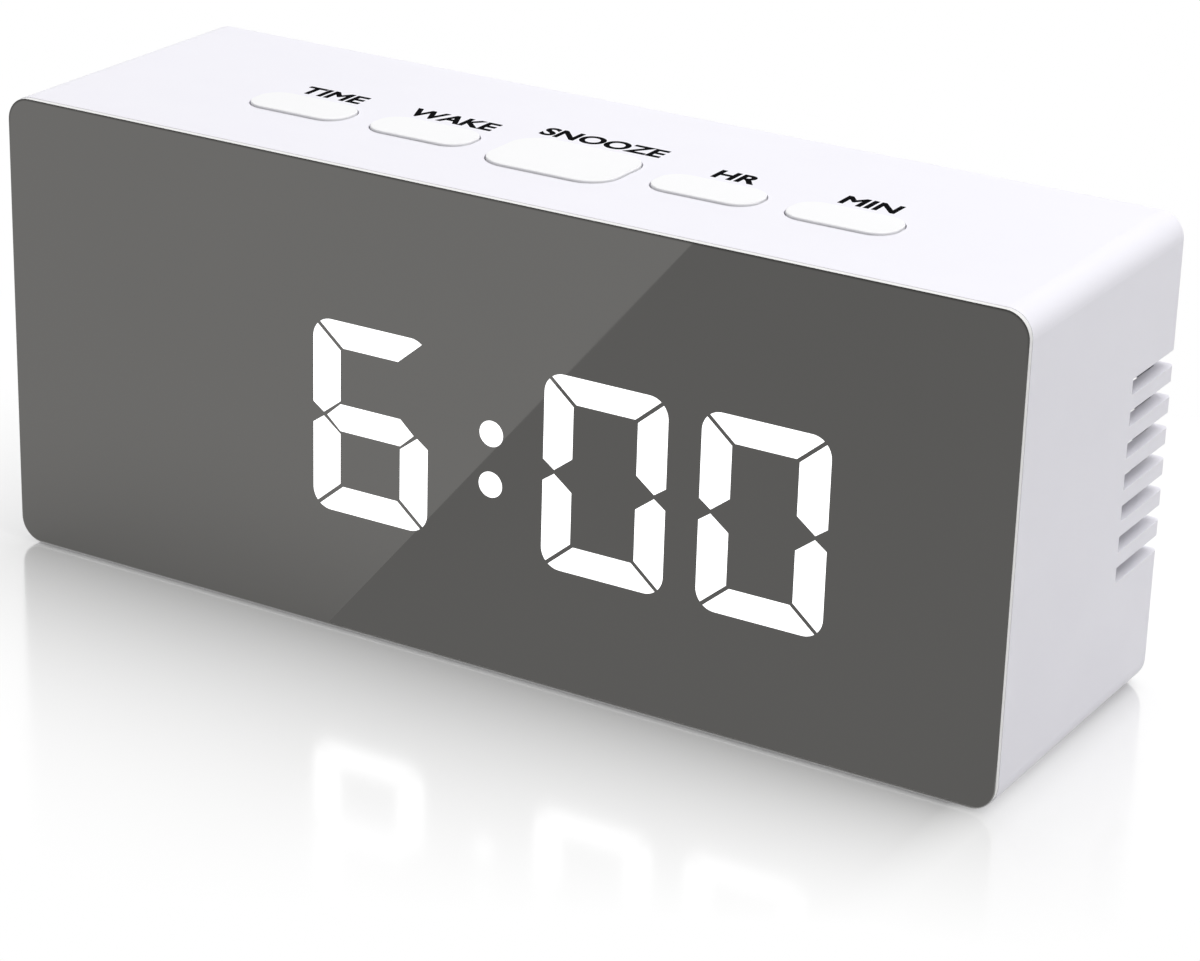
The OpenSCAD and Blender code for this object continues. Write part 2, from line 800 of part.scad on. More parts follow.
// Translucent fillings of the wells
module segment_diffusers() {
    color([1, 1, 1])
        display_shapes(0, reflector_front, reflector_front + diffuser_t);
}

// Middle of each segment and dot
function lamp_places() =
    let (x = (digit_w - stroke_v) / 2, z = (digit_h - stroke_h) / 2)
    concat(
        [for (d = digit_places)
            for (p = [[0, z], [0, 0], [0, -z], [-x, z / 2], [x, z / 2], [-x, -z / 2], [x, -z / 2]])
                [d + p[0], p[1]]],
        [for (side = [-1, 1]) [colon_x, colon_z + side * colon_pitch / 2]]);

// One light-emitting chip under each segment
module led_chips() {
    chip = [1.6, 0.8, 0.8];
    color([0.95, 0.9, 0.5])
        for (p = lamp_places())
            translate([display_x + p[0] - chip[0] / 2, board_front - chip[1],
                       display_mid_z + p[1] - chip[2] / 2])
                cube(chip);
}

// Circuit board behind the display
module main_board() {
    color([0.1, 0.4, 0.2])
        difference() {
            upright_plate(2 * board_half_w, board_h, board_r, 0, board_mid_z, board_front, board_back);
            for (place = post_places)
                rod_y(small_screw_d + 2 * screw_clear, place[0], place[1],
                      board_front - eps, board_back + eps);
            for (x = pin_places())
                rod_y(pin_hole_d, x, pin_z, board_front - eps, board_back + eps);
        }
}

// Driver chip with its gull-wing leads
module driver_chip() {
    chip_h = 2.3;
    lead_w = 0.4;
    lead_l = 1.2;
    lead_root = 0.2;
    standoff = 0.1;
    pitch = 1.27;
    count = floor(chip_l / pitch);
    place = [board_half_w / 4, board_mid_z - board_h / 4];
    color([0.12, 0.12, 0.13])
        translate([place[0], board_back, place[1]]) {
            box([-chip_l / 2, standoff, -chip_w / 2], [chip_l / 2, chip_h, chip_w / 2]);
            for (side = [-1, 1])
                for (i = [0 : count - 1])
                    translate([(i - (count - 1) / 2) * pitch, lead_w, side * (chip_w + lead_l) / 2])
                        cube([lead_w, 2 * lead_w, lead_l + lead_root], center = true);
        }
}

// Crystal in a round can, lying on the board
module clock_crystal() {
    pin_d = 0.4;
    pin_gap = 1.1;
    pin_l = 3;
    place = [-board_half_w / 5, board_mid_z - board_h / 4];
    color([0.75, 0.75, 0.77])
        translate([place[0], board_back + crystal_d / 2, place[1]])
            rotate([0, 90, 0]) {
                cylinder(d = crystal_d, h = crystal_l);
                for (side = [-1, 1])
                    translate([side * pin_gap / 2, 0, -pin_l])
                        cylinder(d = pin_d, h = pin_l + pin_d);
            }
}

// Standing filter capacitor with a pressed vent cross
module filter_capacitor() {
    groove = 0.3;
    place = [board_half_w / 2, board_mid_z + board_h / 6];
    color([0.15, 0.18, 0.3])
        difference() {
            rod_y(capacitor_d, place[0], place[1], board_back, board_back + capacitor_h);
            translate([place[0], board_back + capacitor_h, place[1]])
                for (turn = [0, 90])
                    rotate([0, turn, 0])
                        cube([capacitor_d / 2, 2 * groove, groove], center = true);
        }
}

// Round buzzer with its sound hole
module buzzer() {
    hole_d = 2;
    place = [-board_half_w + 2 * post_in + buzzer_d / 2, board_mid_z];
    color([0.1, 0.1, 0.1])
        difference() {
            rod_y(buzzer_d, place[0], place[1], board_back, board_back + buzzer_h);
            rod_y(hole_d, place[0], place[1], board_back + buzzer_h / 2, board_back + buzzer_h + eps);
        }
}

// Bead on two wires, bent towards the vents
module temperature_sensor() {
    wire_d = 0.5;
    wire_gap = 1.2;
    rise = 5;
    reach = board_clear + tower_d;
    color([0.2, 0.2, 0.25])
        translate([board_half_w - post_in / 2, board_back, board_mid_z]) {
            for (side = [-1, 1])
                translate([0, 0, side * wire_gap / 2]) {
                    rod_y(wire_d, 0, 0, 0, rise);
                    translate([0, rise, 0])
                        sphere(d = wire_d);
                    translate([0, rise, 0])
                        rotate([0, 90, 0])
                            cylinder(d = wire_d, h = reach);
                }
            translate([reach, rise, 0])
                sphere(d = bead_d);
        }
}

// Places of the header's pins
function pin_places() = [for (i = [0 : header_pins - 1]) (i - (header_pins - 1) / 2) * header_pitch];

// Circuit board under the buttons
module key_board() {
    color([0.1, 0.4, 0.2])
        difference() {
            translate([button_x, (key_front + key_rear) / 2, key_low])
                linear_extrude(height = key_board_t)
                    round_rect(key_w, key_rear - key_front, board_r);
            for (place = boss_places)
                translate([place[0], place[1], key_low - eps])
                    cylinder(d = small_screw_d + 2 * screw_clear, h = key_board_t + 2 * eps);
            for (x = pin_places())
                translate([x, header_y, key_low - eps])
                    cylinder(d = pin_hole_d, h = key_board_t + 2 * eps);
        }
}

// Right-angle pin header that joins the two boards
module key_header() {
    color([0.15, 0.15, 0.16]) {
        box([-header_w / 2, key_front, key_low - header_h], [header_w / 2, key_front + header_h, key_low]);
        for (x = pin_places()) {
            box([x - pin_w / 2, board_front, pin_z - pin_w / 2],
                [x + pin_w / 2, key_front + pin_w, pin_z + pin_w / 2]);
            box([x - pin_w / 2, header_y - pin_w / 2, key_low - pin_w],
                [x + pin_w / 2, header_y + pin_w / 2, key_top + pin_tail]);
        }
    }
}

// Tactile switch bodies, one under each cap
module key_switches() {
    bore_room = 0.3;
    bore_deep = plunger_in + button_travel + bore_room;
    leg = [1, 0.7, 0.3];
    leg_root = 0.2;
    color([0.2, 0.2, 0.22])
        for (x = button_places)
            translate([x, row_y, key_top]) {
                difference() {
                    translate([-switch_w / 2, -switch_w / 2, 0])
                        cube([switch_w, switch_w, switch_h]);
                    translate([0, 0, switch_h - bore_deep])
                        cylinder(d = plunger_d + 2 * plunger_clear, h = bore_deep + eps);
                }
                for (side = [-1, 1])
                    for (end = [-1, 1])
                        translate([side * (switch_w + leg[0]) / 2, end * switch_w / 3, leg[2] / 2])
                            cube([leg[0] + leg_root, leg[1], leg[2]], center = true);
            }
}

// Hollow cap with a flange and a stem, at button i
module cap(i) {
    w = button_sizes[i][0];
    l = button_sizes[i][1];
    r = button_sizes[i][2];
    color([0.98, 0.98, 0.99])
        translate([button_places[i], row_y, 0]) {
            difference() {
                union() {
                    translate([0, 0, flange_low])
                        linear_extrude(height = cap_top - flange_low)
                            round_rect(w, l, r);
                    translate([0, 0, flange_low])
                        linear_extrude(height = flange_t)
                            round_rect(w + 2 * flange_w, l + 2 * flange_w, r + flange_w);
                }
                translate([0, 0, cap_top])
                    edge_waste(w, l, r, button_fillet);
                translate([0, 0, flange_low - eps])
                    linear_extrude(height = cap_top - cap_wall - flange_low + eps)
                        round_rect(w - 2 * cap_wall, l - 2 * cap_wall, r - cap_wall);
            }
            translate([0, 0, plunger_top])
                cylinder(d = stem_d, h = cap_top - cap_wall / 2 - plunger_top);
        }
}

module cap_time() cap(0);
module cap_wake() cap(1);
module cap_snooze() cap(2);
module cap_hour() cap(3);
module cap_minute() cap(4);

// Plunger of the switch under button i
module plunger(i) {
    color([0.1, 0.1, 0.1])
        translate([button_places[i], row_y, key_top + switch_h - plunger_in])
            cylinder(d = plunger_d, h = switch_rise - switch_h + plunger_in);
}

module plunger_time() plunger(0);
module plunger_wake() plunger(1);
module plunger_snooze() plunger(2);
module plunger_hour() plunger(3);
module plunger_minute() plunger(4);

// Hatch over the battery well, with a round lower edge on hinge pins and a sprung latch above
module battery_door() {
    color([0.95, 0.95, 0.97]) {
        difference() {
            intersection() {
                translate([-door_w / 2 - eps, hinge_y, 0])
                    rotate([90, 0, 90])
                        linear_extrude(height = door_w + 2 * eps)
                            door_profile();
                upright(rear - door_t - eps, rear + eps)
                    hatch_outline(door_w, door_low - eps, door_high, door_r);
            }
            box([-latch_w / 2 - latch_side, rear - door_t - eps, notch_low],
                [latch_w / 2 + latch_side, rear + eps, door_high + eps]);
        }
        hinge_rod(hinge_pin_d, door_w / 2 + hinge_pin_l);
        door_latch();
    }
}

// Section of the door, with its round lower edge centred on the hinge line
module door_profile() {
    translate([0, hinge_z])
        circle(d = door_t);
    translate([-door_t / 2, hinge_z])
        square([door_t, door_high + eps - hinge_z]);
}

// Strip bent to a U behind the door, with a nose on its free leg
module door_latch() {
    bend_y = rear - door_t - latch_deep;
    bend_z = notch_low + latch_bend;
    leg_top = notch_low + 2 * latch_bend + latch_t;
    outside = latch_bend + latch_t + eps;
    translate([-latch_w / 2, bend_y, bend_z])
        rotate([0, 90, 0])
            difference() {
                cylinder(r = latch_bend + latch_t, h = latch_w);
                translate([0, 0, -eps])
                    cylinder(r = latch_bend, h = latch_w + 2 * eps);
                translate([-outside, 0, -eps])
                    cube([2 * outside, outside, latch_w + 2 * eps]);
            }
    box([-latch_w / 2, bend_y, notch_low - latch_t], [latch_w / 2, rear - door_t / 2, notch_low]);
    box([-latch_w / 2, bend_y, leg_top - latch_t], [latch_w / 2, rear - latch_nose, leg_top]);
    translate([-latch_w / 2, bend_y + latch_nose, leg_top])
        rotate([90, 0, 90])
            linear_extrude(height = latch_w)
                polygon([[0, -latch_nose], [0, latch_nose], [latch_nose, latch_nose],
                         [3 * latch_nose, -latch_nose]]);
}

// Cell i from below, whose nub points left for even i and right for odd i
module cell(i) {
    shoulder = 0.4;
    body_l = cell_l - nub_h;
    way = i % 2 == 0 ? 1 : -1;
    color([0.25, 0.45, 0.3])
        translate([-way * (well_l / 2 - plate_t), cell_axis_y, cell_places[i]])
            rotate([0, way * 90, 0])
                rotate_extrude()
                    polygon([[0, 0], [nub_d / 2, 0], [nub_d / 2, nub_h], [cell_d / 2 - shoulder, nub_h],
                             [cell_d / 2, nub_h + shoulder], [cell_d / 2, nub_h + body_l - shoulder],
                             [cell_d / 2 - shoulder, nub_h + body_l], [0, nub_h + body_l]]);
}

module cell_bottom() cell(0);
module cell_middle() cell(1);
module cell_top() cell(2);

// Sheet contacts: a single and a pair at each end of the well
module battery_plates() {
    pair_h = cell_pitch + contact_w;
    color([0.8, 0.8, 0.78]) {
        contact(-1, cell_places[0], contact_w);
        contact(-1, (cell_places[1] + cell_places[2]) / 2, pair_h);
        contact(1, (cell_places[0] + cell_places[1]) / 2, pair_h);
        contact(1, cell_places[2], contact_w);
    }
}

// Contact plate against one end wall of the well
module contact(side, z, height) {
    end = side * (well_l / 2 - plate_t / 2);
    box([end - plate_t / 2, contact_front, z - height / 2],
        [end + plate_t / 2, cell_axis_y + contact_w / 2, z + height / 2]);
}

// Conical springs at the flat ends of the cells
spring_steps = turn_rings * spring_turns;
spring_rise = spring_room - spring_wire;
spring_path = [for (i = [0 : spring_steps])
    let (t = i / spring_steps, turn = 360 * i / turn_rings,
         r = spring_base_r + (spring_tip_r - spring_base_r) * t)
    [spring_wire / 2 + spring_rise * t, r * cos(turn), r * sin(turn)]];
spring_gap = min([for (i = [0 : spring_steps - turn_rings])
    for (k = [i + turn_rings - 2 : min(i + turn_rings + 2, spring_steps)])
        norm(spring_path[k] - spring_path[i])]) - spring_wire;
echo(spring_gap = spring_gap);

module battery_springs() {
    color([0.75, 0.75, 0.72])
        for (i = [0 : cell_count - 1])
            translate([(i % 2 == 0 ? 1 : -1) * (well_l / 2 - plate_t), cell_axis_y, cell_places[i]])
                rotate([0, i % 2 == 0 ? 180 : 0, 0])
                    tube(spring_path, spring_wire / 2, spring_sides, [1, 0, 0]);
}

// Small board that carries the power inlet
module power_board() {
    color([0.1, 0.4, 0.2])
        difference() {
            box([inlet_x - inlet_board_w / 2, inlet_board_front, inlet_board_top - inlet_board_t],
                [inlet_x + inlet_board_w / 2, inlet_board_back, inlet_board_top]);
            for (side = [-1, 1])
                translate([inlet_x + side * inlet_post_x, inlet_post_y,
                           inlet_board_top - inlet_board_t - eps])
                    cylinder(d = small_screw_d + 2 * screw_clear, h = inlet_board_t + 2 * eps);
        }
}

// Folded metal shell of the inlet
module usb_shell() {
    color([0.75, 0.75, 0.77])
        upright(inlet_mouth - inlet_l, inlet_mouth)
            translate([inlet_x, inlet_board_top + inlet_h / 2])
                difference() {
                    round_rect(inlet_w, inlet_h, inlet_r);
                    round_rect(inlet_w - 2 * inlet_sheet, inlet_h - 2 * inlet_sheet, inlet_r - inlet_sheet);
                }
}

// Plastic block at the back of the inlet, with its contact tongue
module usb_tongue() {
    block_l = 1.2;
    tongue = [3.6, 0.6];
    play = 0.05;
    tip_in = 0.8;
    color([0.12, 0.12, 0.12]) {
        upright_plate(inlet_w - 2 * inlet_sheet - 2 * play, inlet_h - 2 * inlet_sheet - 2 * play,
                      inlet_r - inlet_sheet, inlet_x, inlet_board_top + inlet_h / 2,
                      inlet_mouth - inlet_l, inlet_mouth - inlet_l + block_l);
        box([inlet_x - tongue[0] / 2, inlet_mouth - inlet_l + block_l / 2,
             inlet_board_top + inlet_h / 2 - tongue[1] / 2],
            [inlet_x + tongue[0] / 2, inlet_mouth - tip_in, inlet_board_top + inlet_h / 2 + tongue[1] / 2]);
    }
}

// Four long screws from the rear
module case_screws() {
    color([0.6, 0.6, 0.62])
        for (side = [-1, 1])
            for (z = [tower_low, tower_high])
                translate([side * tower_x, rear - recess_deep, z])
                    rotate([-90, 0, 0])
                        screw(case_screw_d, case_screw_l, case_head_d, case_head_h);
}

// Screws that hold the main board on the frame
module board_screws() {
    color([0.6, 0.6, 0.62])
        for (place = post_places)
            translate([place[0], board_back, place[1]])
                rotate([-90, 0, 0])
                    screw(small_screw_d, small_screw_l, small_head_d, small_head_h);
}

// Screws that hold the key board under the top wall
module key_screws() {
    color([0.6, 0.6, 0.62])
        for (place = boss_places)
            translate([place[0], place[1], key_low])
                rotate([180, 0, 0])
                    screw(small_screw_d, small_screw_l, small_head_d, small_head_h);
}

// Screws that hold the inlet board on its posts
module power_screws() {
    color([0.6, 0.6, 0.62])
        for (side = [-1, 1])
            translate([inlet_x + side * inlet_post_x, inlet_post_y, inlet_board_top])
                screw(small_screw_d, small_screw_l, small_head_d, small_head_h);
}

// Places of the feet
function foot_places() = [for (x = [-1, 1]) for (y = [front + foot_in_y, rear - foot_in_y])
    [x * (body_w / 2 - foot_in_x), y]];

// Four rubber feet in their pockets
module feet() {
    edge = 0.2;
    color([0.3, 0.3, 0.31])
        for (place = foot_places())
            translate([place[0], place[1], 0]) {
                cylinder(d1 = foot_d - 2 * edge, d2 = foot_d, h = edge);
                translate([0, 0, edge])
                    cylinder(d = foot_d, h = bottom + foot_pocket - edge);
            }
}

// Two leads from the battery well to the main board
module battery_leads() {
    sag = 3;
    inset = 3;
    color([0.7, 0.1, 0.1])
        for (side = [-1, 1])
            lead([side * (well_l / 2 - inset), well_front, cell_places[1]],
                 [side * (well_l / 2 - inset), board_back, cell_places[1] + inset], sag);
}

// Two leads from the inlet board to the main board
module power_leads() {
    sag = 2;
    color([0.1, 0.1, 0.1])
        for (side = [-1, 1])
            lead([inlet_x + side * lead_d, inlet_board_front, inlet_board_top - inlet_board_t / 2],
                 [inlet_x + side * lead_d, board_back, inlet_board_top - inlet_board_t / 2], sag);
}

housing();
front_frame();
mirror_panel();
mirror_tape();
display_reflector();
segment_diffusers();
led_chips();
main_board();
driver_chip();
clock_crystal();
filter_capacitor();
buzzer();
temperature_sensor();
key_board();
key_header();
key_switches();
cap_time();
cap_wake();
cap_snooze();
cap_hour();
cap_minute();
plunger_time();
plunger_wake();
plunger_snooze();
plunger_hour();
plunger_minute();
battery_door();
cell_top();
cell_middle();
cell_bottom();
battery_plates();
battery_springs();
power_board();
usb_shell();
usb_tongue();
case_screws();
board_screws();
key_screws();
power_screws();
feet();
battery_leads();
power_leads();
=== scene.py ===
import json
import math

import bmesh
import bpy
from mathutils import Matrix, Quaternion, Vector


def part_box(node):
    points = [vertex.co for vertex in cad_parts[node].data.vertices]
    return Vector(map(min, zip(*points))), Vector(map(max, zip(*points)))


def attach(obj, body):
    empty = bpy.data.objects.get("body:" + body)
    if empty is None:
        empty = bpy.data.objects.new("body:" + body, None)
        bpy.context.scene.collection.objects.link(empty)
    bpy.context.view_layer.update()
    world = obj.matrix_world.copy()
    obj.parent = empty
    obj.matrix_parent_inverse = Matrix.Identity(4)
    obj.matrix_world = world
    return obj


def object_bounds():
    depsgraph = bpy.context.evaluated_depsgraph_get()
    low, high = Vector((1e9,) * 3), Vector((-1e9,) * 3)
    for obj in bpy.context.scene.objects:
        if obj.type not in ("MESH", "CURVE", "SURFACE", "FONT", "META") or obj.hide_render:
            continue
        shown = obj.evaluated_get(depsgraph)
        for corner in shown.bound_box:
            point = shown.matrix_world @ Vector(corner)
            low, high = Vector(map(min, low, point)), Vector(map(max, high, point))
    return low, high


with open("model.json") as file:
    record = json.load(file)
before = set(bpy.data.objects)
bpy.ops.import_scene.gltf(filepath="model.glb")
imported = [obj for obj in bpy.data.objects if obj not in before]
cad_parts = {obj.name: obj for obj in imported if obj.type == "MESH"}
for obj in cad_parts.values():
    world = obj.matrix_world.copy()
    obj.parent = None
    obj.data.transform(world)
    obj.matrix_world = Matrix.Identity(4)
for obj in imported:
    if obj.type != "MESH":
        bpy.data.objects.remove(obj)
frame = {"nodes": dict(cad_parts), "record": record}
cad_low, cad_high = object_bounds()
nodes = frame["nodes"]

MM = 0.001

# Camera of the photograph: place, target and near limit in metres, roll in degrees, lens and sensor in mm
CAMERA_AT = Vector((0.2166, -0.3618, 0.1898))
CAMERA_TARGET = Vector((0.0046, 0.0, 0.0185))
CAMERA_ROLL = 1.73
CAMERA_LENS = 109.6
CAMERA_NEAR = 0.01
SENSOR_WIDTH = 36.0

# Display layout, as the wells of the light box have it, with the reach of a middle segment and of the colon
DIGIT_PITCH = 21.1 * MM
PAIR_PITCH = 54 * MM
SEGMENT_REACH = 3 * MM
COLON_REACH = DIGIT_PITCH / 4

# Time shown, and the dark segments of its digits as a column and a row from the digit's middle
TIME_SHOWN = " 600"
UNLIT = {"6": [(1, 1)], "0": [(0, 0)]}

# Lit film on the mirror: how far it stands out and is let in, its tone, and the range of its light
FILM_PROUD = 0.005 * MM
FILM_SUNK = 0.04 * MM
FILM_TONE = (0.9, 0.9, 0.9, 1)
FILM_ROUGHNESS = 0.4
FILM_PATCH = 3 * MM
FILM_LIGHT = (1.15, 1.25)

# Limits for mesh work: points closer than this are one, and a front face's normal is below this along Y
WELD = 0.001 * MM
FRONT_NORMAL = -0.99

# Words printed behind the buttons, with the height of a capital and the gap behind the cap
LABELS = {"time": "TIME", "wake": "WAKE", "snooze": "SNOOZE", "hour": "HR", "minute": "MIN"}
LABEL_HEIGHT = 3.1 * MM
LABEL_GAP = 0.95 * MM

# Layer of print: its height above and below the wall, what it adds to a stroke and the steps of its edge
LABEL_THICK = 0.02 * MM
LABEL_SUNK = 0.02 * MM
LABEL_BOLD = 0.16 * MM
LABEL_STEPS = 2

# Height of a capital as a share of the font's size
CAPITAL_SHARE = 0.73

# Detail of a noise, and the stretch of values that it fills most
NOISE_DETAIL = 3.0
NOISE_MIDDLE = (0.3, 0.7)

WHITE = (1, 1, 1, 1)

# Moulded plastics and rubbers by slot: colour, roughness, size of the grain and its depth
PLASTICS = {
    "white_shell": ((0.89, 0.88, 0.94), 0.42, 0.3 * MM, 0.003 * MM),
    "button_white": ((0.93, 0.93, 0.94), 0.35, 0.3 * MM, 0.002 * MM),
    "tape": ((0.75, 0.75, 0.7), 0.8, 0.5 * MM, 0.02 * MM),
    "black_plastic": ((0.03, 0.03, 0.032), 0.45, 0.3 * MM, 0.005 * MM),
    "reflector_white": ((0.85, 0.85, 0.85), 0.5, 0.4 * MM, 0.005 * MM),
    "display_light": ((0.9, 0.9, 0.88), 0.3, 0.2 * MM, 0.005 * MM),
    "lamp": ((0.8, 0.72, 0.35), 0.25, 0.3 * MM, 0.002 * MM),
    "capacitor_sleeve": ((0.02, 0.025, 0.07), 0.25, 0.4 * MM, 0.003 * MM),
    "sensor_resin": ((0.05, 0.05, 0.06), 0.3, 0.4 * MM, 0.004 * MM),
    "lead_red": ((0.45, 0.02, 0.02), 0.4, 0.3 * MM, 0.004 * MM),
    "lead_black": ((0.02, 0.02, 0.02), 0.4, 0.3 * MM, 0.004 * MM),
    "foot_rubber": ((0.05, 0.05, 0.052), 0.75, 0.25 * MM, 0.02 * MM),
}

# Clouds of tone on plastics and their darkening, and patches of gloss with the swing of the roughness
PLASTIC_CLOUD = 18 * MM
PLASTIC_FADE = 0.03
PLASTIC_PATCH = 6 * MM
PLASTIC_SWING = 0.05

# Metals by slot: colour, roughness and size of the grain
METALS = {
    "metal_can": ((0.7, 0.7, 0.72), 0.25, 0.5 * MM),
    "steel": ((0.62, 0.62, 0.63), 0.32, 0.3 * MM),
    "contact_nickel": ((0.74, 0.73, 0.7), 0.24, 0.4 * MM),
}

# Clouds of tone on metals and their darkening, the swing of the roughness and the depth of the grain
METAL_CLOUD = 2 * MM
METAL_FADE = 0.15
METAL_SWING = 0.08
METAL_DEPTH = 0.002 * MM

# Edge of the mirror plate: its corner radius, the depth of its coated face, the width of the painted dark
# line inside its upper edge (a painted reflection), the width of the painted pale line inside its lower edge
# (a painted highlight), and the height over which these lines set in
MIRROR_CORNER = 3.15 * MM
MIRROR_FACE = 0.03 * MM
MIRROR_REFLECTION_WIDTH = 0.35 * MM
MIRROR_HIGHLIGHT_WIDTH = 0.2 * MM
MIRROR_TURN = 2 * MIRROR_CORNER

# Finish of the mirror plate: the tones of its coated face, of its painted dark line (a painted reflection)
# and of its clear edges, whose tone the painted pale highlight line shares, and its wiping marks
MIRROR_TONES = ((0.142, 0.14, 0.135), (0.15, 0.147, 0.142))
MIRROR_PAINTED_REFLECTION = (0.02, 0.019, 0.018)
MIRROR_CLEAR = (0.86, 0.855, 0.85)
MIRROR_CLOUD = 40 * MM
MIRROR_ROUGHNESS = (0.012, 0.03)
WIPE_SIZE = 5 * MM
WIPE_TURN = (0, 0.5, 0)
WIPE_STRETCH = (0.2, 1, 1)

# Circuit boards: greens of the solder mask, and the tracks under it with their pitch, gap and relief
BOARD_GREENS = ((0.02, 0.13, 0.05), (0.05, 0.24, 0.1))
BOARD_TRACK = 4 * MM
BOARD_GAP = 0.04
BOARD_RELIEF = 0.02 * MM
BOARD_PATCH = 3 * MM
BOARD_ROUGHNESS = (0.25, 0.4)

# Cells: side to which each plus end points along X, bare metal at the ends, and the share of the half length
# at which the band round the plus end starts
CELL_PLUS = {"cell_top": -1, "cell_middle": 1, "cell_bottom": -1}
CELL_BARE = 1.6 * MM
CELL_BAND = 0.45

# Finish of the cells: greens of the wrap, grey of the band, bare metal, and patches of wear
CELL_GREENS = ((0.03, 0.11, 0.06), (0.04, 0.14, 0.075))
CELL_GREY = (0.42, 0.42, 0.4)
CELL_METAL = (0.62, 0.61, 0.58)
CELL_PATCH = 3 * MM
CELL_ROUGHNESS = (0.14, 0.24)

# Printed ink
INK_TONES = ((0.004, 0.004, 0.005), (0.01, 0.01, 0.011))
INK_SPECKLE = 0.3 * MM
INK_ROUGHNESS = (0.4, 0.6)

# Floor: its tone as seen and for the light that it throws back, its own faint light, and its gloss, which
# fades with the distance from the clock
FLOOR_SIZE = 12.0
FLOOR_TONE = 0.8
FLOOR_BOUNCE = 0.56
FLOOR_LIFT = 0.4
FLOOR_GLOSS = 0.55
FLOOR_ROUGHNESS = 0.13
GLOSS_FADE = 0.11

# Distance from the clock at which the floor is plain white, the white being painted over its shadow and
# reflection: on the left, on the right in front and behind
WHITE_BY_LEFT = 0.07
WHITE_BY_FRONT = 0.03
WHITE_BY_REAR = 0.1
WHITE_CURVE = 0.75

# Share of painted light, white that lifts the shadow where the front end of the right side meets the floor,
# and the stretch over which it sets in
CONTACT_PAINTED_LIGHT = 0.4
CONTACT_TURN = 6 * MM

# Light of the surroundings, and the softboxes with their place, target, size in metres and power in watts
SKY_LIGHT = 0.41
SOFTBOXES = {
    "top_light": ((0.16, 0.25, 0.9), (0, 0, 0.03), (0.9, 0.7), 5.3),
    "right_light": ((0.66, 0, 0.7), (0, 0, 0.03), (0.6, 0.6), 1.8),
}

# Grey card on the floor that only the mirror sees, with its slanting edge on the left
CARD_CORNERS = [(-0.022, -0.0225), (-0.0585, -0.178), (-0.2, -0.8), (1.0, -0.8), (1.0, -0.0225)]
CARD_LIFT = 0.05 * MM
CARD_TONE = 0.7


# Node trees
def tree_node(tree, kind, inputs=None, **settings):
    """Adds a shader node, sets its properties, and links or fills its inputs."""
    made = tree.nodes.new("ShaderNode" + kind)
    for name, value in settings.items():
        setattr(made, name, value)
    for name, value in (inputs or {}).items():
        if isinstance(value, bpy.types.NodeSocket):
            tree.links.new(value, made.inputs[name])
        else:
            made.inputs[name].default_value = value
    return made


def maths(tree, operation, first, second=0.0):
    """Result of an operation on one or two numbers."""
    return tree_node(tree, "Math", {0: first, 1: second}, operation=operation).outputs[0]


def vector_maths(tree, operation, first, second=(0, 0, 0)):
    """Result of an operation on one or two vectors."""
    return tree_node(tree, "VectorMath", {0: first, 1: second}, operation=operation).outputs["Vector"]


def map_range(tree, value, from_min, from_max, to_min=0.0, to_max=1.0):
    """Maps a number from one range to another and holds it at the ends."""
    ends = {"From Min": from_min, "From Max": from_max, "To Min": to_min, "To Max": to_max}
    return tree_node(tree, "MapRange", {"Value": value, **ends}).outputs["Result"]


def split(tree, vector):
    """The X, Y and Z of a vector."""
    return tree_node(tree, "SeparateXYZ", {"Vector": vector}).outputs


def noise(tree, place, size):
    """Noise whose lumps are about size metres across."""
    pattern = {"Vector": place, "Scale": 1 / size, "Detail": NOISE_DETAIL}
    return tree_node(tree, "TexNoise", pattern).outputs["Fac"]


def spread(tree, value, low, high):
    """Maps the middle stretch of a noise to low and high."""
    return map_range(tree, value, *NOISE_MIDDLE, low, high)


def blend_colours(tree, factor, first, second):
    """Mixes two colours by a factor."""
    mixed = tree_node(tree, "Mix", data_type="RGBA")
    for socket, value in (("Factor_Float", factor), ("A_Color", first), ("B_Color", second)):
        target = next(s for s in mixed.inputs if s.identifier == socket)
        if isinstance(value, bpy.types.NodeSocket):
            tree.links.new(value, target)
        else:
            target.default_value = (*value, 1)
    return next(s for s in mixed.outputs if s.identifier == "Result_Color")


def blend_shaders(tree, factor, first, second):
    """Mixes two shader nodes by a factor."""
    return tree_node(tree, "MixShader", {0: factor, 1: first.outputs[0], 2: second.outputs[0]})


def distance_outside(tree, place, middle, reach):
    """Distance of a point from a box with the given middle and half sizes, and 0 inside the box."""
    size = vector_maths(tree, "ABSOLUTE", vector_maths(tree, "SUBTRACT", place, middle))
    outside = vector_maths(tree, "MAXIMUM", vector_maths(tree, "SUBTRACT", size, reach))
    return tree_node(tree, "VectorMath", {0: outside}, operation="LENGTH").outputs["Value"]


# Materials
def empty_material(name):
    """A node material whose tree holds nothing yet, and the tree."""
    made = bpy.data.materials.new(name)
    made.use_nodes = True
    made.node_tree.nodes.clear()
    return made, made.node_tree


def new_material(name):
    """A node material with its tree, its shader and the object's own coordinates in metres."""
    made = bpy.data.materials.new(name)
    made.use_nodes = True
    tree = made.node_tree
    place = tree_node(tree, "TexCoord").outputs["Object"]
    return made, tree, tree.nodes["Principled BSDF"], place


def set_inputs(tree, shader, **values):
    """Links or fills the shader's sockets, whose names have spaces where the arguments have underscores."""
    for name, value in values.items():
        socket = shader.inputs[name.replace("_", " ")]
        if isinstance(value, bpy.types.NodeSocket):
            tree.links.new(value, socket)
        else:
            socket.default_value = value


def bump(tree, height, depth):
    """Normal of a bump of the given depth in metres."""
    made = tree_node(tree, "Bump", {"Height": height, "Strength": 1.0, "Distance": depth})
    return made.outputs["Normal"]


def faded(colour, share):
    """A colour darkened by a share."""
    return tuple(part * (1 - share) for part in colour)


